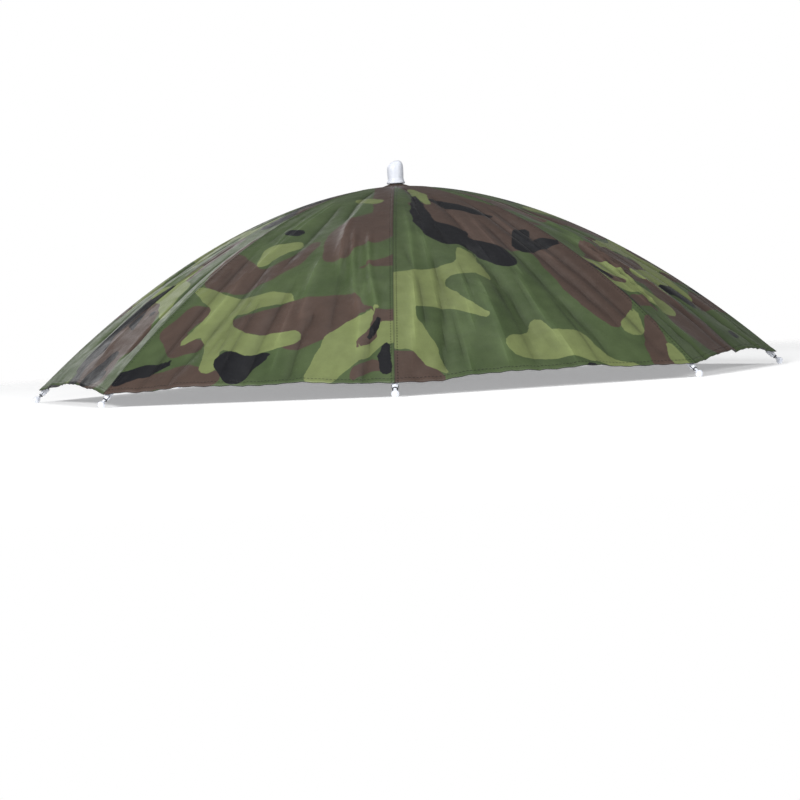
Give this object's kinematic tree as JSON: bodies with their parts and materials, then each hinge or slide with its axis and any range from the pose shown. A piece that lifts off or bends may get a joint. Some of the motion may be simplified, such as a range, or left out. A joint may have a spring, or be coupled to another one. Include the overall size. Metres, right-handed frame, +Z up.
{
  "type": "umbrella hat",
  "caption": "Small ribbed umbrella canopy in camouflage cloth, worn on the head by an elastic headband that hangs under its crown on steel stretchers.",
  "frame": {"origin": "on the hat's axis, level with the lowest point of the rib tips that it stands on", "axes": "+Z up along the axis through the hub and top cap; -Y towards the front rib; +X to the right of someone who looks at the front"},
  "size_m": [0.6814, 0.6814, 0.2019],
  "materials": {
    "canopy_cloth": "coated nylon printed with woodland camouflage outside, silver inside",
    "frame_steel": "black enamel, satin",
    "white_plastic": "moulded, satin, slightly translucent",
    "black_plastic": "moulded, matte",
    "elastic": "ribbed elastic webbing, matte"
  },
  "bodies": {
    "root": {"headband": "elastic", "hub": "white_plastic", "top_cap": "white_plastic", "canopy_panel_1": "canopy_cloth", "canopy_panel_2": "canopy_cloth", "canopy_panel_3": "canopy_cloth", "canopy_panel_4": "canopy_cloth", "canopy_panel_5": "canopy_cloth", "canopy_panel_6": "canopy_cloth", "canopy_panel_7": "canopy_cloth", "canopy_panel_8": "canopy_cloth", "rib_1": "frame_steel", "rib_2": "frame_steel", "rib_3": "frame_steel", "rib_4": "frame_steel", "rib_5": "frame_steel", "rib_6": "frame_steel", "rib_7": "frame_steel", "rib_8": "frame_steel", "rib_tip_1": "white_plastic", "rib_tip_2": "white_plastic", "rib_tip_3": "white_plastic", "rib_tip_4": "white_plastic", "rib_tip_5": "white_plastic", "rib_tip_6": "white_plastic", "rib_tip_7": "white_plastic", "rib_tip_8": "white_plastic", "stretcher_1": "frame_steel", "stretcher_2": "frame_steel", "stretcher_3": "frame_steel", "stretcher_4": "frame_steel", "stretcher_5": "frame_steel", "stretcher_6": "frame_steel", "stretcher_7": "frame_steel", "stretcher_8": "frame_steel", "band_clip_1": "black_plastic", "band_clip_2": "black_plastic", "band_clip_3": "black_plastic", "band_clip_4": "black_plastic", "band_clip_5": "black_plastic", "band_clip_6": "black_plastic", "band_clip_7": "black_plastic", "band_clip_8": "black_plastic"}
  },
  "joints": []
}
